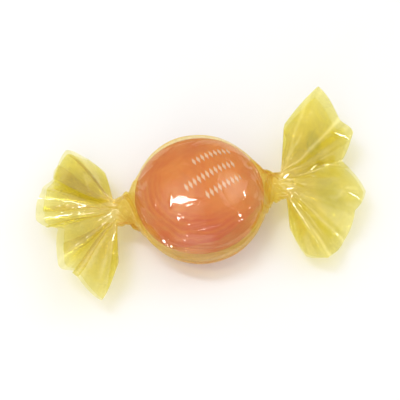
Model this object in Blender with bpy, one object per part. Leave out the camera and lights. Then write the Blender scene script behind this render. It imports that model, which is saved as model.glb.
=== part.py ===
# A boiled sweet in a clear film wrapper that is twisted shut at both ends.
# The film closes all round the sweet, so the whole is one solid.
# It lies flat along X, with a fan of film beyond each twist.
import math

import bmesh
import bpy
from mathutils import Vector

# The sweet and the film drawn round it, in metres
SWEET_DIAMETER = 0.0250
SWEET_THICKNESS = 0.0144
FILM_SLACK = 0.0003
REST_CUT = 0.0004

# The twists: how far out they sit, and how thick the gathered film is there
FILM_LEAVES_SWEET = 0.0094
TWIST_START = 0.0146
TWIST_END = 0.0162
TWIST_HALF_WIDTH = 0.0026
TWIST_HALF_HEIGHT = 0.0017
TWIST_TURN = math.radians(110.0)

# Pleats in the film: waves round the wrapper with their share and phase, and how deep they are
PLEAT_WAVES = ((7, 0.50, 0.4), (10, 0.30, 2.1), (4, 0.30, 1.0))
PLEAT_DEPTH_ON_CONE = 0.00045
PLEAT_DEPTH_ON_TWIST = 0.00025
PLEATS_FADE_FROM = 0.0055

# The fans: beyond the twist the film flattens to its own thickness over the first part of each fan
FAN_THICKNESS = 0.0006
FAN_FLATTENS_BY = 0.32
FAN_EDGE_BULGE = 0.0004
FAN_DROOP = 0.0010

# Folds of each fan from its near side to its far side:
# angle from the long axis in degrees, reach from the twist and lift of the free edge in metres
RIGHT_FAN_FOLDS = (
    (-93.0, 0.0088, 0.0004),
    (-83.0, 0.0142, -0.0010),
    (-71.0, 0.0170, 0.0010),
    (-51.0, 0.0154, -0.0016),
    (-31.0, 0.0144, 0.0012),
    (-13.5, 0.0157, 0.0004),
    (18.0, 0.0130, -0.0022),
    (28.5, 0.0173, 0.0014),
    (42.0, 0.0185, -0.0012),
    (61.0, 0.0213, 0.0018),
    (79.0, 0.0126, 0.0004),
)
LEFT_FAN_FOLDS = (
    (-85.0, 0.0110, 0.0006),
    (-73.0, 0.0176, -0.0020),
    (-52.0, 0.0156, 0.0012),
    (-36.0, 0.0150, -0.0012),
    (-13.0, 0.0114, 0.0020),
    (8.0, 0.0152, -0.0010),
    (27.0, 0.0148, 0.0014),
    (46.0, 0.0156, -0.0014),
    (65.0, 0.0172, 0.0010),
    (77.0, 0.0142, -0.0006),
    (87.0, 0.0090, 0.0008),
)
RIGHT_FAN_ROLL = math.radians(5.0)
LEFT_FAN_ROLL = math.radians(-7.0)

# How finely the film is divided
POINTS_PER_FOLD = 3
RINGS_ON_SWEET = 17
RINGS_ON_CONE = 6
RINGS_ON_TWIST = 3
RINGS_ON_FAN = 10
RING_CROWDING = 1.3

HALF_WIDTH = SWEET_DIAMETER / 2 + FILM_SLACK
HALF_HEIGHT = SWEET_THICKNESS / 2 + FILM_SLACK
POINTS_ABOVE = POINTS_PER_FOLD * (len(RIGHT_FAN_FOLDS) - 1)
POINTS_ROUND = 2 * POINTS_ABOVE


def clear_scene():
    for item in list(bpy.data.objects):
        bpy.data.objects.remove(item, do_unlink=True)


def mix(start, end, share):
    return start + (end - start) * share


def smooth(share):
    # An even ease from 0 to 1
    share = min(max(share, 0.0), 1.0)
    return share * share * (3 - 2 * share)


def sweet_profile(x):
    # Share of the full width that the round sweet has at this place along the wrapper
    return math.sqrt(1 - (x / HALF_WIDTH) ** 2)


def envelope(x, full, twist_size):
    # Half size of the wrapper: the sweet's own outline, then a curve that draws in to the twist
    x = abs(x)
    if x <= FILM_LEAVES_SWEET:
        return full * sweet_profile(x)
    if x >= TWIST_START:
        return twist_size
    run = TWIST_START - FILM_LEAVES_SWEET
    share = (x - FILM_LEAVES_SWEET) / run
    start = full * sweet_profile(FILM_LEAVES_SWEET)
    slope = -full * FILM_LEAVES_SWEET / HALF_WIDTH ** 2 / sweet_profile(FILM_LEAVES_SWEET)
    # A cubic curve that leaves along the sweet's surface and levels out at the twist
    stay = (1 + 2 * share) * (1 - share) ** 2
    lean = share * (1 - share) ** 2
    arrive = share ** 2 * (3 - 2 * share)
    return stay * start + lean * run * slope + arrive * twist_size


def pleat_depth(x):
    # Pleats grow from the sweet to the start of the twist, which then presses them together
    x = abs(x)
    if x < TWIST_START:
        return PLEAT_DEPTH_ON_CONE * smooth((x - PLEATS_FADE_FROM) / (TWIST_START - PLEATS_FADE_FROM))
    pressed = smooth((x - TWIST_START) / (TWIST_END - TWIST_START))
    return mix(PLEAT_DEPTH_ON_CONE, PLEAT_DEPTH_ON_TWIST, pressed)


def pleat_height(angle, side):
    # Uneven waves round the wrapper, another set at each end
    return sum(share * math.cos(count * angle + side * phase) for count, share, phase in PLEAT_WAVES)


def body_ring(x):
    # One section across the sweet, the cone or the twist
    side = 1 if x >= 0 else -1
    width = envelope(x, HALF_WIDTH, TWIST_HALF_WIDTH)
    height = envelope(x, HALF_HEIGHT, TWIST_HALF_HEIGHT)
    turn = TWIST_TURN * smooth((abs(x) - FILM_LEAVES_SWEET) / (TWIST_END - FILM_LEAVES_SWEET))
    ring = []
    for index in range(POINTS_ROUND):
        angle = 2 * math.pi * index / POINTS_ROUND
        swell = pleat_depth(x) * pleat_height(angle + side * turn, side)
        y = (width + swell) * math.cos(angle)
        z = (height + swell) * math.sin(angle)
        ring.append(Vector((x, y, max(z, REST_CUT - HALF_HEIGHT))))
    return ring


def fan_edge(folds, position):
    # Angle, reach and lift of the free edge: cuts between folds, swollen a little, and soft waves
    number = min(int(position), len(folds) - 2)
    share = position - number
    angle_a, reach_a, lift_a = folds[number]
    angle_b, reach_b, lift_b = folds[number + 1]
    gap = math.radians(angle_b - angle_a)
    reach = reach_a * reach_b * math.sin(gap)
    reach /= reach_a * math.sin(gap * share) + reach_b * math.sin(gap * (1 - share))
    reach += FAN_EDGE_BULGE * math.sin(math.pi * share)
    lift = mix(lift_a, lift_b, (1 - math.cos(math.pi * share)) / 2)
    return math.radians(mix(angle_a, angle_b, share)), reach, lift


def fan_ring(folds, side, roll, share):
    # One section across a fan: over the top from its far side to its near side, and back below
    flat = smooth(share / FAN_FLATTENS_BY)
    turn = side * TWIST_TURN
    ring = []
    for index in range(POINTS_ROUND):
        around = 2 * math.pi * index / POINTS_ROUND
        steps = index if index <= POINTS_ABOVE else POINTS_ROUND - index
        across = 1 - 2 * steps / POINTS_ABOVE
        ray, reach, lift = fan_edge(folds, (POINTS_ABOVE - steps) / POINTS_PER_FOLD)
        swell = PLEAT_DEPTH_ON_TWIST * pleat_height(around + turn, side)
        root_y = (TWIST_HALF_WIDTH + swell) * math.cos(around)
        root_z = (TWIST_HALF_HEIGHT + swell) * math.sin(around)
        sheet_y = TWIST_HALF_WIDTH * across * (1 - share)
        edge = math.copysign(min(abs(math.sin(around)) * 5, 1.0), math.sin(around))
        sheet_z = FAN_THICKNESS / 2 * edge if steps % POINTS_ABOVE else 0.0
        x = TWIST_END + reach * share * math.cos(ray)
        y = mix(root_y * (1 - share), sheet_y, flat) + reach * share * math.sin(ray)
        z = mix(root_z, sheet_z, flat) + lift * share - FAN_DROOP * share ** 2
        turned_y = y * math.cos(roll * share) - z * math.sin(roll * share)
        turned_z = y * math.sin(roll * share) + z * math.cos(roll * share)
        ring.append(Vector((side * x, turned_y, turned_z)))
    return ring


def all_rings():
    # Sections in order from the left fan's free edge to the right fan's
    shares = [((step + 1) / RINGS_ON_FAN) ** RING_CROWDING for step in range(RINGS_ON_FAN)]
    right = [fan_ring(RIGHT_FAN_FOLDS, 1, RIGHT_FAN_ROLL, share) for share in shares]
    left = [fan_ring(LEFT_FAN_FOLDS, -1, LEFT_FAN_ROLL, share) for share in shares]
    cone = TWIST_START - FILM_LEAVES_SWEET
    twist = TWIST_END - TWIST_START
    outer = [FILM_LEAVES_SWEET + cone * step / RINGS_ON_CONE for step in range(RINGS_ON_CONE)]
    outer += [TWIST_START + twist * step / RINGS_ON_TWIST for step in range(RINGS_ON_TWIST + 1)]
    spacing = 2 * FILM_LEAVES_SWEET / (RINGS_ON_SWEET - 1)
    inner = [spacing * step - FILM_LEAVES_SWEET for step in range(1, RINGS_ON_SWEET - 1)]
    places = [-x for x in reversed(outer)] + inner + outer
    return left[::-1] + [body_ring(x) for x in places] + right


def close_edge(mesh, row):
    # The cut edge of a fan: a narrow strip between its upper and lower faces
    mesh.faces.new((row[0], row[1], row[-1]))
    for index in range(1, POINTS_ABOVE - 1):
        mesh.faces.new((row[index], row[index + 1], row[-index - 1], row[-index]))
    mesh.faces.new((row[POINTS_ABOVE - 1], row[POINTS_ABOVE], row[POINTS_ABOVE + 1]))


def skin_rings(mesh, rings):
    # Triangles between neighbouring sections, split alike above and below
    rows = [[mesh.verts.new(point) for point in ring] for ring in rings]
    for row, next_row in zip(rows, rows[1:]):
        for index in range(POINTS_ROUND):
            after = (index + 1) % POINTS_ROUND
            a, b, c, d = row[index], next_row[index], next_row[after], row[after]
            if index < POINTS_ABOVE:
                mesh.faces.new((a, b, c))
                mesh.faces.new((a, c, d))
            else:
                mesh.faces.new((a, b, d))
                mesh.faces.new((b, c, d))
    close_edge(mesh, rows[0])
    close_edge(mesh, rows[-1])


def stand_on_ground(mesh):
    # The origin goes under the middle of the wrapper, level with the flat spot
    low = Vector([min(vert.co[axis] for vert in mesh.verts) for axis in range(3)])
    high = Vector([max(vert.co[axis] for vert in mesh.verts) for axis in range(3)])
    middle = (low + high) / 2
    bmesh.ops.translate(mesh, verts=mesh.verts, vec=(-middle.x, -middle.y, -low.z))


def film_material():
    material = bpy.data.materials.new("amber_film")
    material.use_nodes = True
    shader = material.node_tree.nodes["Principled BSDF"]
    shader.inputs["Base Color"].default_value = (0.82, 0.44, 0.12, 1.0)
    shader.inputs["Roughness"].default_value = 0.12
    shader.inputs["Metallic"].default_value = 0.0
    return material


def wrapped_candy():
    mesh = bmesh.new()
    skin_rings(mesh, all_rings())
    bmesh.ops.recalc_face_normals(mesh, faces=mesh.faces)
    stand_on_ground(mesh)
    data = bpy.data.meshes.new("wrapped_candy")
    mesh.to_mesh(data)
    mesh.free()
    data.materials.append(film_material())
    data.shade_smooth()
    candy = bpy.data.objects.new("wrapped_candy", data)
    bpy.context.scene.collection.objects.link(candy)
    return candy


def main():
    clear_scene()
    wrapped_candy()


main()
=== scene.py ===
import math

import bpy
import numpy as np
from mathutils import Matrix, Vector


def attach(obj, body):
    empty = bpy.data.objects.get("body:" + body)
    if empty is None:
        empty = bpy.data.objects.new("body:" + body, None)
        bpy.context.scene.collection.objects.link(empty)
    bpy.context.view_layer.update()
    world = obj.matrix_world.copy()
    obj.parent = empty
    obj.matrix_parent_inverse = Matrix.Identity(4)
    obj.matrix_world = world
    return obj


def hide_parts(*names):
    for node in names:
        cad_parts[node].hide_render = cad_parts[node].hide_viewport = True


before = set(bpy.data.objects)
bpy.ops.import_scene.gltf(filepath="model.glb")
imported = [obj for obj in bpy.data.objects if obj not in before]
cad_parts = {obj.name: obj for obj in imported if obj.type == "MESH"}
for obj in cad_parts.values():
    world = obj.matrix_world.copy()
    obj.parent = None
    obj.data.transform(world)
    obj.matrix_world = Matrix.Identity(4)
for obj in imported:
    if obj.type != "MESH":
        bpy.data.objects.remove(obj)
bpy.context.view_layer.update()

mm = 0.001
print("frame loaded:", sorted(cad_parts))

# the wrapper's own sizes in millimetres, the same as the solid's
wrapper = {
    "halfWidth": 12.8,  # half the sweet's width, with the film on it
    "halfHeight": 7.5,
    "restCut": 0.4,  # how much of the lowest bulge is pressed flat
    "leavesSweet": 9.4,  # how far along the film leaves the sweet
    "twistStart": 14.6,
    "twistEnd": 16.2,
    "twistHalfWidth": 2.6,
    "twistHalfHeight": 1.7,
    "turn": math.radians(230),  # how far each end is twisted
    "turnFrom": 10.5,
    "shift": (-0.107, -0.704),  # brings the middle of the whole wrapper to the origin
}
centreHeight = wrapper["halfHeight"] - wrapper["restCut"]

# the flat sheet that is rolled round the sweet, in radians round from the far side over the top
sheet = {
    "start": math.radians(148),
    "end": math.radians(205 + 360),  # after more than a full turn
    "skew": 0.028,  # radians the first edge moves round for each millimetre along the sweet
    "skewWithin": 10,
    "wander": ((0.04, 0.31, 0.6), (0.02, 0.83, 0.0)),  # waves of both edges: height, pace along and shift
    "lastEdgeShift": 9,  # the last edge has the waves of a place this much further along
    "layerGap": 0.08,
    "layerEase": 0.5,  # the outer layer climbs over this much of a turn
    "perRadian": 10.2,  # millimetres of flat sheet for each radian round
    "columns": 600,
}
# rows of points along each part of the sheet
rows = {"sweet": 147, "cone": 40, "twist": 16, "fan": 100}


def smooth(share):
    # an even ease from 0 to 1: 3 s squared less 2 s cubed
    share = np.clip(share, 0.0, 1.0)
    return share * share * (3 - 2 * share)


def mix(start, end, share):
    return start + (end - start) * share


def direction(azimuth, rise):
    # unit vector, azimuth in degrees from the front round to the right
    a, e = math.radians(azimuth), math.radians(rise)
    return Vector((math.sin(a) * math.cos(e), -math.cos(a) * math.cos(e), math.sin(e)))


def smoothGrid(name, points, uv=None, closeRows=False, poles=False):
    # rows x columns x 3 points in millimetres become quads, and poles closes both ends with triangles
    rowCount, columnCount = points.shape[:2]
    index = np.arange(rowCount * columnCount).reshape(rowCount, columnCount)
    if closeRows:
        index = np.hstack([index, index[:, :1]])
    quads = np.stack([index[:-1, :-1], index[:-1, 1:], index[1:, 1:], index[1:, :-1]], -1).reshape(-1, 4)
    verts = points.reshape(-1, 3) * mm
    loops = quads.reshape(-1)
    sizes = np.full(len(quads), 4)
    if poles:
        ends = np.stack([points[0].mean(0), points[-1].mean(0)]) * mm
        first, last = len(verts), len(verts) + 1
        verts = np.vstack([verts, ends])
        top = np.stack([index[0, 1:], index[0, :-1], np.full(columnCount, first)], -1)
        bottom = np.stack([index[-1, :-1], index[-1, 1:], np.full(columnCount, last)], -1)
        loops = np.concatenate([loops, top.reshape(-1), bottom.reshape(-1)])
        sizes = np.concatenate([sizes, np.full(2 * columnCount, 3)])
    mesh = bpy.data.meshes.new(name)
    mesh.vertices.add(len(verts))
    mesh.vertices.foreach_set("co", verts.reshape(-1))
    mesh.loops.add(len(loops))
    mesh.loops.foreach_set("vertex_index", loops)
    mesh.polygons.add(len(sizes))
    mesh.polygons.foreach_set("loop_start", np.concatenate([[0], np.cumsum(sizes)[:-1]]))
    mesh.polygons.foreach_set("use_smooth", np.ones(len(sizes), bool))
    mesh.update(calc_edges=True)
    mesh.validate()
    if uv is not None:
        layer = mesh.uv_layers.new(name="filmPlace")
        layer.data.foreach_set("uv", uv.reshape(-1, 2)[loops].reshape(-1))
    thing = bpy.data.objects.new(name, mesh)
    bpy.context.scene.collection.objects.link(thing)
    return thing


# outline of the film over the sweet and its cones
def envelope(x, full, twistSize):
    # half size of the film: a circle's profile over the sweet, then a cubic that draws in to the twist
    reach = np.abs(x)
    leaves, start = wrapper["leavesSweet"], wrapper["twistStart"]
    profile = np.sqrt(1 - (np.minimum(reach, leaves) / wrapper["halfWidth"]) ** 2)
    edge = math.sqrt(1 - (leaves / wrapper["halfWidth"]) ** 2)
    slope = -full * leaves / wrapper["halfWidth"] ** 2 / edge
    run = start - leaves
    s = np.clip((reach - leaves) / run, 0, 1)
    cone = (1 + 2 * s) * (1 - s) ** 2 * full * edge + s * (1 - s) ** 2 * run * slope
    cone = cone + s * s * (3 - 2 * s) * twistSize
    return np.where(reach < leaves, full * profile, cone)


def twisted(x):
    # radians that the film has turned at x, eased in from the sweet's shoulder to the end of the twist
    share = (np.abs(x) - wrapper["turnFrom"]) / (wrapper["twistEnd"] - wrapper["turnFrom"])
    return wrapper["turn"] * smooth(share)


def seamWander(x):
    # both edges of the sheet stray a little from a straight line: a sum of sines along the wrapper
    return sum(height * np.sin(pace * x + shift) for height, pace, shift in sheet["wander"])


def aroundGrid(x):
    # an even row of places round the sheet for each place along it, from its first edge to its last
    share = np.linspace(0, 1, sheet["columns"])[None, :]
    skew = sheet["skew"] * np.clip(x, -sheet["skewWithin"], sheet["skewWithin"])
    start = sheet["start"] + (seamWander(x) - skew)[:, None]
    end = sheet["end"] + seamWander(x + sheet["lastEdgeShift"])[:, None]
    return mix(start, end, share)


def outerLayer(around):
    # 0 on the first turn of the sheet, eased to 1 before it overlaps itself
    overlapFrom = sheet["start"] + 2 * math.pi
    return smooth((around - overlapFrom + sheet["layerEase"]) / sheet["layerEase"])


# pleats: each table of places along the wrapper is followed by its depths, in millimetres
pleats = {
    "count": 13,
    "spacing": ((1, 1.4, 0.7), (2, 1.1, -1.9), (3, 0.8, 2.6)),  # slower waves, so that no two are alike
    "strength": 0.68,
    "strengthWaves": ((3, 0.22, 1.1), (7, 0.20, -0.6)),
    "begin": 6.3,  # how far along they begin
    "beginWaves": ((4, 1.9, 1.0), (9, 1.3, -2.0)),
    "growOver": 4.5,
    "depths": ((4, 9.0, 10.8, 12.8, 14.6, 16.2), (0.02, 0.10, 0.26, 0.50, 0.40, 0.34)),
    "crestPower": 0.85,
    "rounderFrom": 11,
    "rounderOver": 3,
    "lobes": ((3, 1.0, 1.3), (5, 0.7, -0.8)),
    "lobeDepths": ((10, 13, 15, 16.2), (0.0, 0.12, 0.26, 0.22)),
    "facets": (12, 8, 3.6, 1.6),  # seed and number of waves, the longest and the shortest
    "facetDepths": ((10.5, 13, 16.2), (0.0, 0.24, 0.26)),
}


def waves(table, around, side):
    # the sum of height x sin(count x around + shift x side), one row of count, height and shift each
    return sum(height * np.sin(count * around + shift * side) for count, height, shift in table)


def pleatPhase(around, side):
    # a whole number of waves round the wrapper, unevenly spaced by slower ones
    return pleats["count"] * around + waves(pleats["spacing"], around, side)


def pleatStrength(around, side):
    # some pleats are deeper than others, by two slow waves
    return pleats["strength"] + waves(pleats["strengthWaves"], around, side)


def crest(phase):
    # from -1 in a rounded trough to 1 on a sharp crest
    return 1 - 2 * np.abs(np.sin(phase / 2)) ** pleats["crestPower"]


def pleatDepth(x, around, side):
    # pleats deepen towards the twist, each from its own place on the sweet
    reach = np.abs(x)
    begin = pleats["begin"] + waves(pleats["beginWaves"], around, side)
    return np.interp(reach, *pleats["depths"]) * smooth((reach - begin) / pleats["growOver"])


def crinkle(points, seed, count, longest, shortest):
    # straight creases in many directions: the sum of |sin| of plane waves with unequal lengths
    meanOfSine = 0.6366  # taken away, so that the crinkles swell nothing on the whole
    rng = np.random.default_rng(seed)
    total = np.zeros(points.shape[:-1])
    for _ in range(count):
        way = rng.normal(size=3)
        way /= np.linalg.norm(way)
        length = rng.uniform(shortest, longest)
        start = rng.uniform(0, 6.28)  # anywhere in a full turn
        total += length * (np.abs(np.sin(points @ way * math.pi / length + start)) - meanOfSine)
    return total / count


def gathering(x, around, side):
    # pleats that grow rounder towards the twist, a few broad lobes, and flat facets with sharp borders
    reach = np.abs(x)
    angle = around + side * twisted(x)
    phase = pleatPhase(around, side)
    rounder = smooth((reach - pleats["rounderFrom"]) / pleats["rounderOver"])
    folds = mix(crest(phase), -crest(phase + math.pi), rounder)
    folds = pleatDepth(x, around, side) * pleatStrength(around, side) * folds
    lobes = waves(pleats["lobes"], around, side) * np.interp(reach, *pleats["lobeDepths"])
    width, height = wrapper["twistHalfWidth"], wrapper["twistHalfHeight"]
    neck = np.stack([x + 0 * angle, width * np.cos(angle), height * np.sin(angle)], -1)
    facets = crinkle(neck, *pleats["facets"]) * np.interp(reach, *pleats["facetDepths"])
    return folds + lobes + facets


def crease(x, y, place, aim, length, width, height, bend):
    # a ridge or groove with a sharp crest: falls off as exp(-distance / width) across, as a bell along
    crestRound = 0.07
    along = (x - place[0]) * math.cos(aim) + (y - place[1]) * math.sin(aim)
    off = (y - place[1]) * math.cos(aim) - (x - place[0]) * math.sin(aim) - bend * along ** 2
    fall = (np.sqrt(off ** 2 + crestRound ** 2) - crestRound) / width
    return height * np.exp(-fall - (along / length) ** 4)


# short creases at random: how far off they lie, and the least and most of each size, in millimetres
shortCrease = {
    "within": 10.5,
    "length": (0.7, 2.6),
    "width": (0.18, 0.32),
    "height": (0.015, 0.05),
    "bend": 0.04,
}


def shortCreases(x, y, seed, count, middle):
    # straight or slightly bent creases, up or down, about a place along the wrapper
    rng = np.random.default_rng(seed)
    total = np.zeros(np.broadcast(x, y).shape)
    for _ in range(count):
        place = rng.uniform(-shortCrease["within"], shortCrease["within"], 2) + (middle, 0)
        aim = rng.uniform(0, math.pi)
        length = rng.uniform(*shortCrease["length"])
        width = rng.uniform(*shortCrease["width"])
        height = rng.choice((-1, 1)) * rng.uniform(*shortCrease["height"])
        bend = rng.normal(0, shortCrease["bend"])
        total += crease(x, y, place, aim, length, width, height, bend)
    return total


# flat spots on the upper face, which catch the lights as crisp glints: place in millimetres,
# the azimuth and rise that each faces, its aim in degrees, half length and half width
topSpots = (
    ((-4.9, -3.0), (309.8, 75.9), -8, 1.4, 0.55),
    ((-3.2, -3.4), (309.4, 75.8), -12, 2.6, 0.36),
    ((-6.0, -2.8), (310.3, 76.0), 74, 1.3, 0.28),
    ((-2.6, -4.4), (308.4, 75.8), -10, 0.7, 0.20),
    ((-4.5, -6.2), (323, 65.9), -48, 0.95, 0.18),
    ((8.2, -3.6), (66.7, 60.8), 80, 0.9, 0.16),
    ((8.9, -5.6), (67.2, 61.1), 40, 0.7, 0.14),
    ((6.5, -7.3), (41.4, 55.9), -60, 0.55, 0.26),
    ((-0.3, -9.1), (335.2, 45.5), 3, 2.0, 0.13),
    ((-8.5, -9.0), (316.3, 40.8), -35, 0.5, 0.32),
    ((-7.3, -10.2), (316, 40.9), -30, 0.4, 0.22),
)
spotEdge = {
    "near": 0.3,  # a spot's middle is the highest film within this many millimetres of its place
    "flatness": 0.97,
    "outside": 1.4,  # where its border ends, in half sizes of the ellipse
    "ease": 0.4,
    "deepest": 2.0,  # film further off than this belongs to the underside
}


def flatSpots(points, spots, where=1.0):
    # points inside an ellipse move along the way the spot faces, onto one plane through its middle
    for (x, y), facing, aim, halfLength, halfWidth in spots:
        faces = np.array(direction(*facing))
        near = np.hypot(points[..., 0] - x, points[..., 1] - y) < spotEdge["near"]
        heights = np.where(near, points[..., 2], -np.inf)
        middle = points[np.unravel_index(np.argmax(heights), heights.shape)]
        along = np.array((math.cos(math.radians(aim)), math.sin(math.radians(aim)), 0))
        along -= faces * (along @ faces)
        along /= np.linalg.norm(along)
        off = points - middle
        depth = off @ faces
        edge = np.hypot(off @ along / halfLength, off @ np.cross(faces, along) / halfWidth)
        share = spotEdge["flatness"] * where * smooth((spotEdge["outside"] - edge) / spotEdge["ease"])
        share = share * (np.abs(depth) < spotEdge["deepest"])
        points = points - (share * depth)[..., None] * faces
    return points


# creases on the upper face: place in millimetres, aim in degrees, length, width, height and bend
topCreases = (
    ((-0.8, -7.9), 2, 3.0, 0.20, 0.06, 0.02),
    ((8.9, -1.2), 66, 1.6, 0.22, 0.08, 0.02),
    ((5.6, 4.4), -24, 1.7, 0.20, 0.10, 0.06),
    ((-8.9, -2.4), 80, 1.3, 0.18, 0.11, 0.0),
    ((4.2, -10.4), 24, 2.2, 0.22, 0.12, 0.0),
    ((-7.4, -8.8), -40, 2.0, 0.20, 0.12, 0.03),
    ((-1.6, 4.2), -30, 1.5, 0.22, 0.07, 0.0),
    ((3.6, 0.6), 70, 1.2, 0.22, 0.05, 0.0),
)
# low crinkles and short creases all over the sweet, and the calm film round its main highlight
slack = {
    "crinkles": (5, 9, 9.0, 4.0),  # seed and number of waves, the longest and the shortest
    "crinkleHeight": 0.04,
    "shortCreases": (3, 30, 0.0),  # seed, number and middle
    "calm": 0.85,  # how much lower they are in the middle of the calm film
    "calmMiddle": (-4.4, -1.6),
    "calmReach": (4.6, 3.0),
}
# folds along the rim: place round the wrapper and width in degrees, height and reach in millimetres, wander
rimFoldPlaces = (
    (139, 2.4, 0.10, 5.0, 0.05),
    (152, 2.6, 0.20, 7.5, 0.05),
    (163, 2.6, 0.30, 9.0, 0.07),
    (173, 2.8, 0.34, 8.5, 0.06),
    (184, 3.0, 0.30, 9.0, 0.08),
    (196, 2.8, 0.30, 8.0, 0.06),
    (209, 3.4, 0.18, 7.0, 0.05),
    (33, 2.8, 0.14, 6.5, 0.05),
    (16, 2.8, 0.26, 8.5, 0.06),
    (5, 2.6, 0.24, 8.0, 0.05),
    (-8, 3.0, 0.24, 7.5, 0.06),
    (-25, 3.6, 0.16, 7.0, 0.04),
)
rimFoldPace = 0.28  # radians of wander for each millimetre along


def topFaceCreases(x, y, z):
    # the sum of the creases above, eased in over the two millimetres round the film's middle height
    total = np.zeros(np.broadcast(x, y).shape)
    for place, aim, *sizes in topCreases:
        total += crease(x, y, place, math.radians(aim), *sizes)
    return total * smooth(z / 2 + 0.5)


def slackCreases(points):
    # crinkles and short creases, made lower as a bell round the main highlight
    x, y = points[..., 0], points[..., 1]
    offX = (x - slack["calmMiddle"][0]) / slack["calmReach"][0]
    offY = (y - slack["calmMiddle"][1]) / slack["calmReach"][1]
    strength = 1 - slack["calm"] * np.exp(-offX ** 2 - offY ** 2)
    crinkles = slack["crinkleHeight"] * crinkle(points, *slack["crinkles"])
    return strength * (crinkles + shortCreases(x, y, *slack["shortCreases"]))


def rimFolds(x, angle):
    # slack film gathers in long low folds that follow the rim: bells across the angle, fading to both ends
    total = np.zeros(np.broadcast(x, angle).shape)
    for place, width, height, reach, wander in rimFoldPlaces:
        middle = math.radians(place) + wander * np.sin(rimFoldPace * x + place)
        off = np.mod(angle - middle + math.pi, 2 * math.pi) - math.pi
        total += height * np.exp(-(off / math.radians(width)) ** 2 - (x / reach) ** 4)
    return total


def bodyFilm(x, around):
    # ellipse sections along X, swollen by pleats and creases, turned near the twists, flat at the bottom
    x = x + 0 * around
    side = np.where(x >= 0, 1.0, -1.0)
    angle = around + side * twisted(x)
    width = envelope(x, wrapper["halfWidth"], wrapper["twistHalfWidth"])
    height = envelope(x, wrapper["halfHeight"], wrapper["twistHalfHeight"])
    bareY, bareZ = width * np.cos(angle), height * np.sin(angle)
    swell = gathering(x, around, side)
    swell += slackCreases(np.stack([x, bareY, bareZ], -1))
    swell += topFaceCreases(x, bareY, bareZ)
    swell += rimFolds(x, angle)
    swell += sheet["layerGap"] * outerLayer(around)
    y = (width + swell) * np.cos(angle)
    z = (height + swell) * np.sin(angle)
    return np.stack([x, y, np.maximum(z, -centreHeight)], -1)


# both fans, in millimetres and degrees, with x growing outwards from the sweet's middle
# folds from the near side to the far side: angle, reach and lift
# creases and spots are given as on the upper face, and the spots lie on the upper layer only
# tucks, where the film doubles back: layer, place, width and doubling as shares of half the fan, and lift
rightFan = {
    "side": 1,
    "roll": math.radians(5),
    "folds": (
        (-93, 8.8, 0.4), (-83, 14.2, -1.0), (-71, 17.0, 1.0), (-51, 15.4, -1.6), (-31, 14.4, 1.2),
        (-13.5, 15.7, 0.4), (18, 13.0, -2.2), (28.5, 17.3, 1.4), (42, 18.5, -1.2), (61, 21.3, 1.8),
        (79, 12.6, 0.4),
    ),
    "creases": (
        ((18.4, -1.3), -8, 1.3, 0.26, 0.24, 0.0),
        ((19.4, 6.4), 70, 1.5, 0.28, 0.15, 0.0),
        ((18.6, -5.2), 96, 1.2, 0.26, 0.13, 0.0),
    ),
    "spots": (
        ((29.0, 8.4), (303.6, 71.8), -39, 1.9, 0.36),
        ((29.3, -4.1), (299.4, 72.5), -42, 1.4, 0.32),
        ((25.7, 3.25), (302.5, 72.5), -10, 2.1, 0.21),
        ((22.7, 2.6), (303.2, 72.8), 24, 0.9, 0.17),
        ((22.4, 1.4), (302.9, 72.9), -8, 0.4, 0.22),
        ((17.4, -1.7), (303.1, 73.6), -5, 0.9, 0.22),
        ((17.0, 1.2), (304.3, 73.5), 25, 0.8, 0.2),
        ((17.5, -4.8), (302.0, 73.8), 84, 0.5, 0.2),
        ((16.9, -3.3), (302.7, 73.8), 70, 0.4, 0.2),
    ),
    "tucks": ((1, -0.50, 0.11, 0.09, 0.5),),
}
leftFan = {
    "side": -1,
    "roll": math.radians(-7),
    "folds": (
        (-85, 11.0, 0.6), (-73, 17.6, -2.0), (-52, 15.6, 1.2), (-36, 15.0, -1.2), (-13, 11.4, 2.0),
        (8, 15.2, -1.0), (27, 14.8, 1.4), (46, 15.6, -1.4), (65, 17.2, 1.0), (77, 14.2, -0.6),
        (87, 9.0, 0.8),
    ),
    "creases": (
        ((28.6, 3.4), 28, 1.8, 0.30, 0.15, 0.0),
        ((22.0, 1.0), -6, 2.4, 0.26, 0.14, 0.03),
        ((24.5, -9.2), 118, 1.8, 0.30, 0.14, 0.0),
        ((19.4, -2.0), -42, 1.3, 0.24, 0.14, 0.0),
        ((20.8, 7.0), 80, 1.7, 0.26, 0.14, 0.0),
    ),
    "spots": (),
    "tucks": (
        (1, 0.42, 0.08, 0.18, 0.5), (1, -0.10, 0.055, 0.09, -0.4), (1, -0.58, 0.075, 0.14, 0.5),
        (-1, 0.64, 0.06, 0.10, -0.4), (-1, 0.12, 0.07, 0.12, 0.4), (-1, -0.34, 0.07, 0.13, -0.5),
    ),
}
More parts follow.
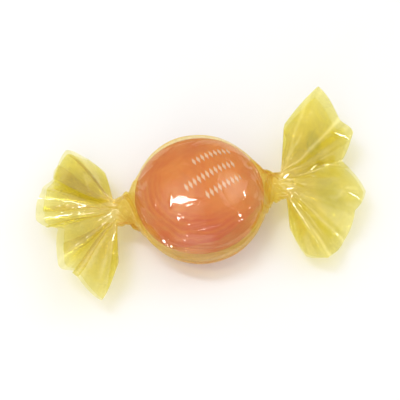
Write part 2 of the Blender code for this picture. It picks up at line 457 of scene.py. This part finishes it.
# shares are of the way out from the twist, and a wave is its height, then its paces across the fan,
# by layer and by side
fanShape = {
    "bulge": 0.4,  # of each straight cut between two folds
    "droop": 1.0,
    "flattensBy": 0.30,  # share where the round twist has become two layers
    "foldedBy": 0.12,  # share where folds and tucks lie in full
    "gap": 0.9,  # between the two layers
    "gapCloses": 0.4,  # by this share at the free edge
    "overlapStep": 0.1,
    "edgeFade": 0.15,  # pleats and folds fade this near both long edges, as a share of half the fan
    "finePleat": 0.45,
    "fineLean": 0.05,
    "fineFades": 2.2,  # a power of the share still to go
    "foldedShorter": 0.25,  # film that a fold draws aside reaches less far
    "lowerReach": 0.945,  # the lower layer's cut edge lies a little further in
    "lowerWave": (0.05, 3.1, 0.0, 1.7),
    "lowerShift": 0.8,
    "crinkles": (9, 10.0, 4.0),  # number of waves, the longest and the shortest
    "crinkleSeed": 8,
    "crinkleHeight": 0.09,
    "shortCreases": (26, 25.0),  # number, and their middle along the wrapper
    "shortCreaseSeed": 30,
    "shortCreaseHeight": 1.6,
    "sheetLength": 15,
    "rowsCloser": 1.15,  # a power that puts more rows near the twist
}
broadFolds = {
    "height": 0.5,
    "across": 11,  # radians of fold from the middle of the fan to a long edge
    "spacing": ((1.7, 2.3, 1.9, 1.0), (0.9, 5.1, -1.0, 0.0)),
    "bend": (0.9, 4.3, 1.0, 2.0),
    "straightAt": 0.4,  # share of the way out
    "strength": 0.55,
    "strengthWave": (0.45, 3.7, 2.2, 1.3),
    "strengthTurns": 2.0,  # radians that this wave shifts on the way out
    "atTwist": 0.5,  # share of the height that a fold begins with
}
tuckShape = {
    "peak": 1.65,  # brings the highest value of u exp(-u squared / 2) to 1
    "wander": (0.03, 4, 9),  # height, and its paces outwards and from tuck to tuck
    "opens": 0.35,  # by this share at the free edge
    "climbsOver": 2.4,  # in widths of the tuck, as the two below
    "topAt": 1.2,
    "fallsOver": 2.5,
}


def fanWave(wave, across, layer, side, shift=0.0):
    # height x sin(pace x across + pace x layer + pace x side + shift)
    height, acrossPace, layerPace, sidePace = wave
    return height * np.sin(acrossPace * across + layerPace * layer + sidePace * side + shift)


def fanEdge(folds, across):
    # across runs from -1 to 1: straight cuts between folds, swollen a little, and soft waves of lift
    table = np.array(folds, float)
    place = np.clip((across + 1) / 2, 0, 1) * (len(table) - 1)
    number = np.minimum(place.astype(int), len(table) - 2)
    share = place - number
    start, end = table[number], table[number + 1]
    gap = np.radians(end[..., 0] - start[..., 0])
    reach = start[..., 1] * end[..., 1] * np.sin(gap)
    reach = reach / (start[..., 1] * np.sin(gap * share) + end[..., 1] * np.sin(gap * (1 - share)))
    reach = reach + fanShape["bulge"] * np.sin(math.pi * share)
    lift = mix(start[..., 2], end[..., 2], (1 - np.cos(math.pi * share)) / 2)
    return np.radians(mix(start[..., 0], end[..., 0], share)), reach, lift


def broadFold(across, share, layer, side):
    # height x sin(phase): a few uneven folds that bend and grow on their way out, others in the lower layer
    phase = broadFolds["across"] * across
    for wave in broadFolds["spacing"]:
        phase = phase + fanWave(wave, across, layer, side)
    phase = phase + (share - broadFolds["straightAt"]) * fanWave(broadFolds["bend"], across, layer, side)
    turned = broadFolds["strengthTurns"] * share
    strength = broadFolds["strength"] + fanWave(broadFolds["strengthWave"], across, layer, side, turned)
    grown = mix(broadFolds["atTwist"], 1, share)
    return broadFolds["height"] * strength * grown * np.sin(phase)


def tucked(across, share, layer, tucks):
    # u exp(-u squared / 2) added to the place doubles the film back, and it climbs as it does
    place = across + 0 * share
    rise = np.zeros(place.shape)
    height, outPace, tuckPace = tuckShape["wander"]
    for which, middle, width, doubling, lift in tucks:
        wander = height * np.sin(outPace * share + tuckPace * middle)
        u = (across - middle - wander) / width
        here = (layer == which) * (1 - tuckShape["opens"] * share)
        place = place - here * doubling * tuckShape["peak"] * u * np.exp(-u ** 2 / 2)
        falls = np.exp(-np.maximum(u - tuckShape["topAt"], 0) / tuckShape["fallsOver"])
        rise = rise + here * lift * smooth(u / tuckShape["climbsOver"] + 0.5) * falls
    return place, rise


def fanCreases(fan, x, y, z):
    # crinkles and short creases all over, and the fan's own creases
    side = fan["side"]
    seed, height = fanShape["crinkleSeed"] + side, fanShape["crinkleHeight"]
    total = height * crinkle(np.stack([x, y, z], -1), seed, *fanShape["crinkles"])
    seed, height = fanShape["shortCreaseSeed"] + side, fanShape["shortCreaseHeight"]
    total += height * shortCreases(x, y, seed, *fanShape["shortCreases"])
    for place, aim, *sizes in fan["creases"]:
        total += crease(x, y, place, math.radians(aim), *sizes)
    return total


def fanFilm(fan, share, around):
    # two layers over rays from the twist: fine pleats die out, and broad folds open to the free edge
    side = fan["side"]
    angle = around + side * wrapper["turn"]
    halfTurns = np.mod(angle, 2 * math.pi) / math.pi
    layer = np.where(halfTurns < 1, 1.0, -1.0)
    across = np.where(halfTurns < 1, 1 - 2 * halfTurns, 2 * halfTurns - 3)
    phase = pleatPhase(around, side)
    outer = outerLayer(around)
    inside = np.clip((1 - np.abs(across)) / fanShape["edgeFade"], 0, 1)
    fine = (1 - share) ** fanShape["fineFades"] * pleatStrength(around, side) * inside
    # where each point lies across the fan, and how far out its free edge is
    place, rise = tucked(across, share, layer, fan["tucks"])
    place = place - fanShape["fineLean"] * fine * np.sin(2 * phase)
    place = mix(across, place, smooth(share / fanShape["foldedBy"]))
    ray, reach, lift = fanEdge(fan["folds"], place)
    reach = reach * (1 - fanShape["foldedShorter"] * np.abs(place - across))
    lower = fanWave(fanShape["lowerWave"], across, layer, side, fanShape["lowerShift"])
    lower = lower + fanShape["lowerReach"]
    reach = reach * np.where(layer > 0, 1.0, lower)
    # the round end of the twist, and the two layers that it becomes
    swell = gathering(side * wrapper["twistEnd"], around, side) + sheet["layerGap"] * outer
    rootY = (wrapper["twistHalfWidth"] + swell) * np.cos(angle)
    rootZ = (wrapper["twistHalfHeight"] + swell) * np.sin(angle)
    hollow = fanShape["gap"] * np.sqrt(np.clip(1 - across ** 2, 0, 1)) * (1 - fanShape["gapCloses"] * share)
    sheetY = wrapper["twistHalfWidth"] * across * (1 - share)
    sheetZ = layer * (hollow / 2 + fanShape["overlapStep"] * outer)
    sheetZ = sheetZ + fanShape["finePleat"] * fine * np.sin(phase)
    sheetZ = sheetZ + inside * broadFold(across, share, layer, side) + rise
    flat = smooth(share / fanShape["flattensBy"])
    x = wrapper["twistEnd"] + reach * share * np.cos(ray)
    y = mix(rootY * (1 - share), sheetY, flat) + reach * share * np.sin(ray)
    z = mix(rootZ, sheetZ, flat) + lift * share - fanShape["droop"] * share ** 2
    z = z + flat * fanCreases(fan, x, y, z)
    roll = fan["roll"] * share
    points = [side * x, y * np.cos(roll) - z * np.sin(roll), y * np.sin(roll) + z * np.cos(roll)]
    return flatSpots(np.stack(points, -1), fan["spots"], layer > 0)


def filmUv(length, around):
    # millimetres on the flat sheet: round the sweet, and along it
    return np.stack([around * sheet["perRadian"], length + 0 * around], -1)


def placed(points):
    # from the sweet's middle to the frame's origin, with the flat of the film on the floor
    return points + np.array([*wrapper["shift"], centreHeight])


def sweetPartFilm():
    # the sheet over the sweet itself, with its flat spots
    x = np.linspace(-wrapper["leavesSweet"], wrapper["leavesSweet"], rows["sweet"])
    around = aroundGrid(x)
    return flatSpots(bodyFilm(x[:, None], around), topSpots), filmUv(x[:, None], around)


def endFilm(fan):
    # cone and twist rows first, then the fan's own, whose places round the sheet carry on from the twist's
    side = fan["side"]
    cone = np.linspace(wrapper["leavesSweet"], wrapper["twistStart"], rows["cone"])[:-1]
    twist = np.linspace(wrapper["twistStart"], wrapper["twistEnd"], rows["twist"])
    reach = np.concatenate([cone, twist])
    coneAround = aroundGrid(side * reach)
    coneFilm = bodyFilm(side * reach[:, None], coneAround)
    share = np.linspace(0, 1, rows["fan"])[1:, None] ** fanShape["rowsCloser"]
    length = wrapper["twistEnd"] + fanShape["sheetLength"] * share[:, 0]
    around = aroundGrid(side * length)
    around = mix(coneAround[-1:], around, smooth(share / fanShape["flattensBy"]))
    points = np.vstack([coneFilm, fanFilm(fan, share, around)])
    uv = filmUv(side * np.concatenate([reach, length])[:, None], np.vstack([coneAround, around]))
    return points[::side], uv[::side]


def wrapperFilm(material):
    # the sheet in three pieces: over the sweet, and the two ends
    grids = {
        "sweetFilm": sweetPartFilm(),
        "rightEndFilm": endFilm(rightFan),
        "leftEndFilm": endFilm(leftFan),
    }
    made = [smoothGrid(name, placed(points), uv) for name, (points, uv) in grids.items()]
    for piece in made:
        piece.data.materials.append(material)
        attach(piece, "root")
    return made


# the sweet inside in millimetres, with air under the film, more of it along the near rim
sweet = {
    "halfLength": 12.3,
    "halfWidth": 11.75,
    "halfThickness": 7.05,
    "fullness": 2.03,  # 2 is an ellipsoid, and more is fuller
    "shift": (0.1, 0.55, 0.12),  # from the middle of the film
    "dents": (21, 7, 14.0, 8.0),  # seed and number of waves, the longest and the shortest
    "dentDepth": 0.0016,  # as a share of its size
    "around": 200,
    "rings": 140,
}


def sweetShape():
    # a lens: its reach by cosine and height by sine, both raised to a power, with slow dents all over
    lat = np.linspace(-math.pi / 2, math.pi / 2, sweet["rings"] + 2)[1:-1, None]
    lon = np.linspace(0, 2 * math.pi, sweet["around"], endpoint=False)[None, :]
    power = 2 / sweet["fullness"]
    out = np.cos(lat) ** power
    x = sweet["halfLength"] * out * np.cos(lon)
    y = sweet["halfWidth"] * out * np.sin(lon)
    z = np.sign(np.sin(lat)) * np.abs(np.sin(lat)) ** power * sweet["halfThickness"]
    points = np.stack([x, y, z + 0 * lon], -1)
    dents = 1 + sweet["dentDepth"] * crinkle(points, *sweet["dents"])
    return points * dents[..., None] + np.array(sweet["shift"])


def boiledSweet(material):
    piece = smoothGrid("boiledSweet", placed(sweetShape()), closeRows=True, poles=True)
    piece.data.materials.append(material)
    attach(piece, "root")
    return piece


# looks
def newMaterial(name):
    material = bpy.data.materials.new(name)
    material.use_nodes = True
    material.node_tree.nodes.clear()
    return material, material.node_tree.nodes, material.node_tree.links


def maths(nodes, links, operation, first, second=None, third=None):
    # one Math node; a number or another node's output goes into each socket
    node = nodes.new("ShaderNodeMath")
    node.operation = operation
    for socket, value in zip(node.inputs, (first, second, third)):
        if isinstance(value, (int, float)):
            socket.default_value = value
        elif value is not None:
            links.new(value, socket)
    return node.outputs[0]


def separate(nodes, links, vector):
    node = nodes.new("ShaderNodeSeparateXYZ")
    links.new(vector, node.inputs[0])
    return node.outputs


def blendColour(nodes, links, share, first, second):
    # a colour or another node's output goes into each of the Mix node's colour sockets
    node = nodes.new("ShaderNodeMix")
    node.data_type = "RGBA"
    links.new(share, node.inputs["Factor"])
    for socket, value in ((node.inputs[6], first), (node.inputs[7], second)):
        if isinstance(value, tuple):
            socket.default_value = value
        else:
            links.new(value, socket)
    return node.outputs[2]


def blendShader(nodes, links, share, first, second):
    node = nodes.new("ShaderNodeMixShader")
    for socket, value in zip(node.inputs, (share, first, second)):
        links.new(value, socket)
    return node.outputs[0]


def ramp(nodes, links, share, stops):
    # stops are places from 0 to 1 with a colour or a grey value each
    node = nodes.new("ShaderNodeValToRGB")
    links.new(share, node.inputs[0])
    points = node.color_ramp.elements
    while len(points) < len(stops):
        points.new(0.5)
    for point, (place, colour) in zip(points, stops):
        point.position = place
        point.color = colour if isinstance(colour, tuple) else (colour, colour, colour, 1)
    return node.outputs[0]


def within(nodes, links, value, middle, half, soft):
    # 1 inside a band and 0 outside it, with a soft border
    off = maths(nodes, links, "ABSOLUTE", maths(nodes, links, "SUBTRACT", value, middle))
    share = maths(nodes, links, "MULTIPLY_ADD", off, -1 / soft, half / soft + 0.5)
    share.node.use_clamp = True
    return share


def noise(nodes, links, vector, scale, detail=2.0, distortion=0.0):
    node = nodes.new("ShaderNodeTexNoise")
    node.inputs["Scale"].default_value = scale
    node.inputs["Detail"].default_value = detail
    node.inputs["Distortion"].default_value = distortion
    links.new(vector, node.inputs["Vector"])
    return node.outputs["Fac"]


def noiseBump(nodes, links, vector, looks):
    # a fine noise as bump, with its strength and its depth in metres
    node = nodes.new("ShaderNodeBump")
    node.inputs["Strength"].default_value = looks["bumpStrength"]
    node.inputs["Distance"].default_value = looks["bumpDepth"]
    links.new(noise(nodes, links, vector, *looks["bumpNoise"]), node.inputs["Height"])
    return node.outputs["Normal"]


def easedRange(nodes, links, value, start, end):
    # 0 at the start value and 1 at the end value, eased
    node = nodes.new("ShaderNodeMapRange")
    node.interpolation_type = "SMOOTHSTEP"
    links.new(value, node.inputs["Value"])
    node.inputs["From Min"].default_value = start
    node.inputs["From Max"].default_value = end
    return node.outputs["Result"]


def softPatch(nodes, links, place, middle, aim, halfLength, halfWidth):
    # 1 in the middle of an ellipse seen from above, eased to 0 on its border
    cos, sin = math.cos(math.radians(aim)), math.sin(math.radians(aim))
    square = 0.0
    for (u, v), half in (((cos, sin), halfLength), ((-sin, cos), halfWidth)):
        start = -(middle[0] * u + middle[1] * v) / half
        share = maths(nodes, links, "MULTIPLY_ADD", place[0], u / half / mm, start)
        share = maths(nodes, links, "MULTIPLY_ADD", place[1], v / half / mm, share)
        square = maths(nodes, links, "MULTIPLY_ADD", share, share, square)
    return easedRange(nodes, links, square, 1.0, 0.1)


# rows of small lozenges printed on the film, in millimetres
filmPrint = {
    "middle": 16.0,  # round the film, at the top of the sweet
    "repeat": 32.0,
    "slant": math.radians(21),
    "pitch": 0.92,
    "wide": 0.68,
    "tall": 1.65,
    "soft": 0.25,
    "rows": ((3.3, 0.6, 8.6), (0.2, -3.2, 7.9), (-2.7, -0.6, 7.3)),  # height, start and end
    "rowEndSoft": 0.05,
    "cover": 0.5,
    "ink": (1.0, 0.80, 0.50, 1),
}


def printMask(nodes, links, place):
    # slanted rows of small lozenges, the same on both faces
    middle, half = filmPrint["middle"], filmPrint["repeat"] / 2
    turned = maths(nodes, links, "WRAP", place[0], middle + half, middle - half)
    up = maths(nodes, links, "SUBTRACT", middle, turned)
    cos, sin = math.cos(filmPrint["slant"]), math.sin(filmPrint["slant"])
    along = maths(nodes, links, "MULTIPLY_ADD", place[1], cos, maths(nodes, links, "MULTIPLY", up, sin))
    across = maths(nodes, links, "MULTIPLY_ADD", place[1], -sin, maths(nodes, links, "MULTIPLY", up, cos))
    pitch, tall = filmPrint["pitch"], filmPrint["tall"]
    step = maths(nodes, links, "ABSOLUTE", maths(nodes, links, "WRAP", along, pitch / 2, -pitch / 2))
    mask = None
    for height, start, end in filmPrint["rows"]:
        off = maths(nodes, links, "ABSOLUTE", maths(nodes, links, "SUBTRACT", across, height))
        off = maths(nodes, links, "MULTIPLY_ADD", step, tall / filmPrint["wide"], off)
        lozenges = within(nodes, links, off, 0.0, tall / 2, filmPrint["soft"])
        span = within(nodes, links, along, (start + end) / 2, (end - start) / 2, filmPrint["rowEndSoft"])
        row = maths(nodes, links, "MULTIPLY", lozenges, span)
        mask = row if mask is None else maths(nodes, links, "MAXIMUM", mask, row)
    return mask


# stops run along the sheet, from the middle of the sweet (0) over the twist (0.5) to the free edge (1)
filmColours = {
    "endsAt": 31.5,  # millimetres along the sheet
    # the yellow grows paler towards the free edge: painted light, for the bright floor seen through the
    # single layer there
    "tint": (
        (0.0, (0.96, 0.86, 0.42, 1)), (0.30, (0.98, 0.885, 0.40, 1)), (0.46, (0.98, 0.91, 0.40, 1)),
        (0.56, (0.955, 0.875, 0.31, 1)), (0.72, (0.945, 0.87, 0.31, 1)), (0.90, (0.95, 0.895, 0.37, 1)),
        (1.0, (0.965, 0.94, 0.60, 1)),
    ),
    # uneven deeper patches in the fans, partly where the film lies in more folds than can be told apart and
    # partly painted shade
    "foldAndShadeColour": (0.85, 0.81, 0.27, 1),
    "deeperShare": ((0.0, 0.0), (0.50, 0.0), (0.62, 0.60), (0.80, 0.60), (1.0, 0.10)),
    "deeperNoise": (95, 2, 1.0),
    "deeperStops": ((0.40, 0.0), (0.64, 1.0)),
    # painted shade, two soft ellipses on the fans: middle in millimetres, aim in degrees, half length and
    # half width
    "paintedShadePatches": (((24.4, -4.6), -80, 6.4, 3.1), ((23.4, 6.8), 78, 3.6, 2.0)),
    "haze": (
        (0.0, (0.95, 0.66, 0.30, 1)), (0.30, (1.0, 0.78, 0.20, 1)), (0.50, (1.0, 0.78, 0.20, 1)),
        (0.66, (0.96, 0.80, 0.22, 1)), (1.0, (0.95, 0.89, 0.42, 1)),
    ),
    "hazeShare": ((0.0, 0.05), (0.27, 0.07), (0.40, 0.20), (0.52, 0.24), (0.70, 0.10), (1.0, 0.07)),
    "hazeRoughness": 0.3,
    # cloudy patches where the film stands off
    "cloud": ((0.0, 0.04), (0.28, 0.06), (0.40, 0.12), (1.0, 0.10)),
    "cloudNoise": (190, 3, 1.5),
    "cloudStops": ((0.45, 0.0), (0.68, 1.0)),
    "shine": (1, 1, 0.97, 1),
    "roughness": 0.05,
    "mirrorHeadOn": ((0.0, 0.07), (0.36, 0.08), (0.46, 0.12), (0.54, 0.12), (0.64, 0.08), (1.0, 0.08)),
    "mirrorEdge": 0.55,
    "mirrorPower": 4.0,
    "bumpStrength": 0.25,
    "bumpDepth": 0.0001,
    "bumpNoise": (900, 4),
}


def filmTint(nodes, links, coords, along):
    # the clear yellow along the sheet, deeper in patches of more folds and of painted shade, and paler at
    # the free edge as painted light
    looks = filmColours
    folds = ramp(nodes, links, noise(nodes, links, coords, *looks["deeperNoise"]), looks["deeperStops"])
    folds = maths(nodes, links, "MULTIPLY", folds, ramp(nodes, links, along, looks["deeperShare"]))
    place = separate(nodes, links, coords)
    # soft ellipses of painted shade on the fans
    for patch in looks["paintedShadePatches"]:
        folds = maths(nodes, links, "MAXIMUM", folds, softPatch(nodes, links, place, *patch))
    return blendColour(nodes, links, folds, ramp(nodes, links, along, looks["tint"]), looks["foldAndShadeColour"])


def hazeAmount(nodes, links, coords, along):
    # an even haze along the sheet, with cloudy patches
    looks = filmColours
    patches = ramp(nodes, links, noise(nodes, links, coords, *looks["cloudNoise"]), looks["cloudStops"])
    patches = maths(nodes, links, "MULTIPLY", patches, ramp(nodes, links, along, looks["cloud"]))
    return maths(nodes, links, "ADD", patches, ramp(nodes, links, along, looks["hazeShare"]))


def mirrorAmount(nodes, links, along, normal):
    # both faces of a thin film mirror a little head on, and more towards the edge
    facing = nodes.new("ShaderNodeLayerWeight")
    facing.inputs["Blend"].default_value = 0.5
    links.new(normal, facing.inputs["Normal"])
    steep = maths(nodes, links, "POWER", facing.outputs["Facing"], filmColours["mirrorPower"])
    headOn = ramp(nodes, links, along, filmColours["mirrorHeadOn"])
    return maths(nodes, links, "MULTIPLY_ADD", steep, filmColours["mirrorEdge"], headOn)


def filmLook():
    material, nodes, links = newMaterial("yellowFilm")
    coords = nodes.new("ShaderNodeTexCoord").outputs["Object"]
    flatSheet = nodes.new("ShaderNodeUVMap")
    flatSheet.uv_map = "filmPlace"
    place = separate(nodes, links, flatSheet.outputs[0])
    along = maths(nodes, links, "DIVIDE", maths(nodes, links, "ABSOLUTE", place[1]), filmColours["endsAt"])
    normal = noiseBump(nodes, links, coords, filmColours)
    clear = nodes.new("ShaderNodeBsdfTransparent")
    links.new(filmTint(nodes, links, coords, along), clear.inputs["Color"])
    # haze and print share one dull shader
    dull = nodes.new("ShaderNodeBsdfPrincipled")
    dull.inputs["Roughness"].default_value = filmColours["hazeRoughness"]
    links.new(normal, dull.inputs["Normal"])
    mask = printMask(nodes, links, place)
    haze = ramp(nodes, links, along, filmColours["haze"])
    links.new(blendColour(nodes, links, mask, haze, filmPrint["ink"]), dull.inputs["Base Color"])
    inked = maths(nodes, links, "MULTIPLY", mask, filmPrint["cover"])
    share = maths(nodes, links, "MAXIMUM", hazeAmount(nodes, links, coords, along), inked)
    hazy = blendShader(nodes, links, share, clear.outputs[0], dull.outputs[0])
    shine = nodes.new("ShaderNodeBsdfGlossy")
    shine.inputs["Color"].default_value = filmColours["shine"]
    shine.inputs["Roughness"].default_value = filmColours["roughness"]
    links.new(normal, shine.inputs["Normal"])
    mirror = mirrorAmount(nodes, links, along, normal)
    out = nodes.new("ShaderNodeOutputMaterial")
    links.new(blendShader(nodes, links, mirror, hazy, shine.outputs[0]), out.inputs["Surface"])
    return material


sweetColours = {
    # from the palest to the reddest
    "shades": (
        (0.05, (0.79, 0.29, 0.095, 1)), (0.45, (0.71, 0.20, 0.045, 1)), (0.95, (0.64, 0.115, 0.035, 1)),
    ),
    "rimAt": 11.7 * mm,
    # how red it is from the middle (0) to the rim (1), and thin arcs that follow the rim: painted shade,
    # for the dark bands that refraction makes near the rim of clear sugar
    "body": ((0.0, 0.30), (0.5, 0.36), (0.8, 0.55), (1.0, 0.70)),
    "paintedRefractionArcs": (
        (0.60, 0.0), (0.64, 0.5), (0.675, 0.1), (0.71, 0.7), (0.745, 0.15), (0.80, 1.0), (0.83, 0.1),
        (0.875, 0.9), (0.905, 0.2), (0.95, 0.7), (1.0, 0.4),
    ),
    "arcStrength": 0.9,
    "swirlNoise": (110, 3, 2.0),
    "swirlBends": 0.20,  # how far swirls bend the arcs
    "swirlStrength": 0.9,
    # painted shade: the near and left side is redder and darker, and the arcs are strongest there
    "nearness": 1.3,  # the near side counts this many times as much as the left
    "nearPaintedShade": -4.5,  # for each metre, as the next one
    "nearArcs": -28.0,
    "arcNoise": (130, 1),
    "arcNoiseStrength": 1.3,
    "arcNoiseTaken": -0.38,
    "paler": 0.55,  # taken off at the end, so that the whole runs from pale to red
    "roughness": 0.2,
    "specular": 0.25,
    "glow": 0.7,  # share of light that spreads under its surface
    "glowRadius": (1.0, 0.4, 0.2),
    "glowScale": 0.0015,
    "bumpStrength": 0.35,
    "bumpDepth": 0.0002,
    "bumpNoise": (260, 2),
}


def sweetShade(nodes, links, coords):
    # redder towards the rim and the near left as painted shade, in swirls, with thin red arcs of painted
    # refraction that come and go
    looks = sweetColours
    place = separate(nodes, links, coords)
    swirl = noise(nodes, links, coords, *looks["swirlNoise"])
    square = maths(nodes, links, "MULTIPLY", place[0], place[0])
    square = maths(nodes, links, "MULTIPLY_ADD", place[1], place[1], square)
    radius = maths(nodes, links, "DIVIDE", maths(nodes, links, "SQRT", square), looks["rimAt"])
    radius = maths(nodes, links, "SUBTRACT", radius, looks["swirlBends"] / 2)
    wavy = maths(nodes, links, "MULTIPLY_ADD", swirl, looks["swirlBends"], radius)
    nearLeft = maths(nodes, links, "MULTIPLY_ADD", place[1], looks["nearness"], place[0])
    patchy = noise(nodes, links, coords, *looks["arcNoise"])
    patchy = maths(nodes, links, "MULTIPLY_ADD", patchy, looks["arcNoiseStrength"], looks["arcNoiseTaken"])
    fade = maths(nodes, links, "MULTIPLY_ADD", nearLeft, looks["nearArcs"], patchy)
    fade.node.use_clamp = True
    # thin arcs of painted refraction, faded by the noise and strongest at the near left
    paintedRefractionArcs = maths(nodes, links, "MULTIPLY", ramp(nodes, links, wavy, looks["paintedRefractionArcs"]), fade)
    body = ramp(nodes, links, wavy, looks["body"])
    redness = maths(nodes, links, "MULTIPLY_ADD", swirl, looks["swirlStrength"], body)
    # painted shade: redder and darker towards the near left side
    redness = maths(nodes, links, "MULTIPLY_ADD", nearLeft, looks["nearPaintedShade"], redness)
    redness = maths(nodes, links, "MULTIPLY_ADD", paintedRefractionArcs, looks["arcStrength"], redness)
    redness = maths(nodes, links, "SUBTRACT", redness, looks["paler"])
    return ramp(nodes, links, redness, looks["shades"])


def sweetLook():
    material, nodes, links = newMaterial("amberBoiledSugar")
    coords = nodes.new("ShaderNodeTexCoord").outputs["Object"]
    body = nodes.new("ShaderNodeBsdfPrincipled")
    links.new(sweetShade(nodes, links, coords), body.inputs["Base Color"])
    body.inputs["Roughness"].default_value = sweetColours["roughness"]
    body.inputs["Specular IOR Level"].default_value = sweetColours["specular"]
    body.inputs["Subsurface Weight"].default_value = sweetColours["glow"]
    body.inputs["Subsurface Radius"].default_value = sweetColours["glowRadius"]
    body.inputs["Subsurface Scale"].default_value = sweetColours["glowScale"]
    links.new(noiseBump(nodes, links, coords, sweetColours), body.inputs["Normal"])
    out = nodes.new("ShaderNodeOutputMaterial")
    links.new(body.outputs[0], out.inputs["Surface"])
    return material


# floor, camera and lights, in metres and degrees
studio = {
    "floorHalf": 4.0,
    "floorColour": (0.93, 0.925, 0.92, 1),
    "floorRoughness": 0.6,
    "azimuth": -10,  # the camera's place, as the photo was taken
    "elevation": 64,
    "distance": 0.34,
    "aim": (0, -0.0005, 0.006),
    "showsWidth": 0.076,
    "roomColour": (1, 0.995, 0.98, 1),
    "roomStrength": 0.68,
    "roomHeights": ((0.0, 0.90), (0.12, 0.78), (0.45, 0.84), (1.0, 1.0)),
    # soft bright parts of the room: azimuth and rise, inner and outer half width, added brightness
    "glows": ((246, 70, 0, 34, 0.7), (112, 46, 0, 24, 1.2), (344, 30, 0, 35, 0.9)),
    "lightsAt": 0.6,
    # name, azimuth and rise, width and height, and power in watts
    "lights": (
        ("window", 246.5, 71.3, (0.065, 0.30), 0.74),
        ("frontStrip", 329, 26, (0.02, 0.12), 0.09),
        ("rightStrip", 66, 35, (0.025, 0.05), 0.08),
        ("backRightLamp", 97, 33, (0.02, 0.07), 0.085),
        ("leftLamp", 298, 62, (0.025, 0.05), 0.08),
        ("lowLeftLamp", 302, 12, (0.05, 0.03), 0.10),
    ),
    "filmLayers": 32,  # a ray may pass through this many
}


def floorLook():
    material, nodes, links = newMaterial("paleFloor")
    body = nodes.new("ShaderNodeBsdfPrincipled")
    body.inputs["Base Color"].default_value = studio["floorColour"]
    body.inputs["Roughness"].default_value = studio["floorRoughness"]
    out = nodes.new("ShaderNodeOutputMaterial")
    links.new(body.outputs[0], out.inputs["Surface"])
    return material


def makeFloor():
    mesh = bpy.data.meshes.new("floor")
    half = studio["floorHalf"]
    corners = [(-half, -half, 0), (half, -half, 0), (half, half, 0), (-half, half, 0)]
    mesh.from_pydata(corners, [], [(0, 1, 2, 3)])
    floor = bpy.data.objects.new("floor", mesh)
    bpy.context.scene.collection.objects.link(floor)
    mesh.materials.append(floorLook())


def makeCamera():
    data = bpy.data.cameras.new("camera")
    camera = bpy.data.objects.new("camera", data)
    bpy.context.scene.collection.objects.link(camera)
    back = direction(studio["azimuth"], studio["elevation"])
    camera.location = Vector(studio["aim"]) + back * studio["distance"]
    camera.rotation_euler = (-back).to_track_quat("-Z", "Y").to_euler()
    data.lens = data.sensor_width * studio["distance"] / studio["showsWidth"]
    bpy.context.scene.camera = camera


def softLight(name, azimuth, rise, size, power):
    data = bpy.data.lights.new(name, "AREA")
    data.shape = "ELLIPSE"
    data.size, data.size_y = size
    data.energy = power
    light = bpy.data.objects.new(name, data)
    way = direction(azimuth, rise)
    light.location = way * studio["lightsAt"]
    light.rotation_euler = (-way).to_track_quat("-Z", "Y").to_euler()
    bpy.context.scene.collection.objects.link(light)


def makeRoom():
    # a pale room, darker low down, with a few soft bright parts that the gloss can mirror
    world = bpy.data.worlds.new("paleRoom")
    world.use_nodes = True
    nodes, links = world.node_tree.nodes, world.node_tree.links
    coords = nodes.new("ShaderNodeTexCoord").outputs["Generated"]
    bright = ramp(nodes, links, separate(nodes, links, coords)[2], studio["roomHeights"])
    bright = maths(nodes, links, "MULTIPLY", bright, studio["roomStrength"])
    for azimuth, rise, inner, outer, added in studio["glows"]:
        near = nodes.new("ShaderNodeVectorMath")
        near.operation = "DOT_PRODUCT"
        near.inputs[1].default_value = direction(azimuth, rise)
        links.new(coords, near.inputs[0])
        start, end = math.cos(math.radians(outer)), math.cos(math.radians(inner))
        glow = easedRange(nodes, links, near.outputs["Value"], start, end)
        bright = maths(nodes, links, "MULTIPLY_ADD", glow, added, bright)
    links.new(bright, nodes["Background"].inputs["Strength"])
    nodes["Background"].inputs["Color"].default_value = studio["roomColour"]
    return world


def makeStudio():
    scene = bpy.context.scene
    scene.view_settings.view_transform = "Standard"
    scene.cycles.transparent_max_bounces = studio["filmLayers"]
    scene.world = makeRoom()
    for light in studio["lights"]:
        softLight(*light)
    makeFloor()
    makeCamera()


filmPieces = wrapperFilm(filmLook())
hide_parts("wrapped_candy")
print("film made:", [len(piece.data.polygons) for piece in filmPieces])
boiledSweet(sweetLook())
print("sweet made")
makeStudio()
print("studio made")
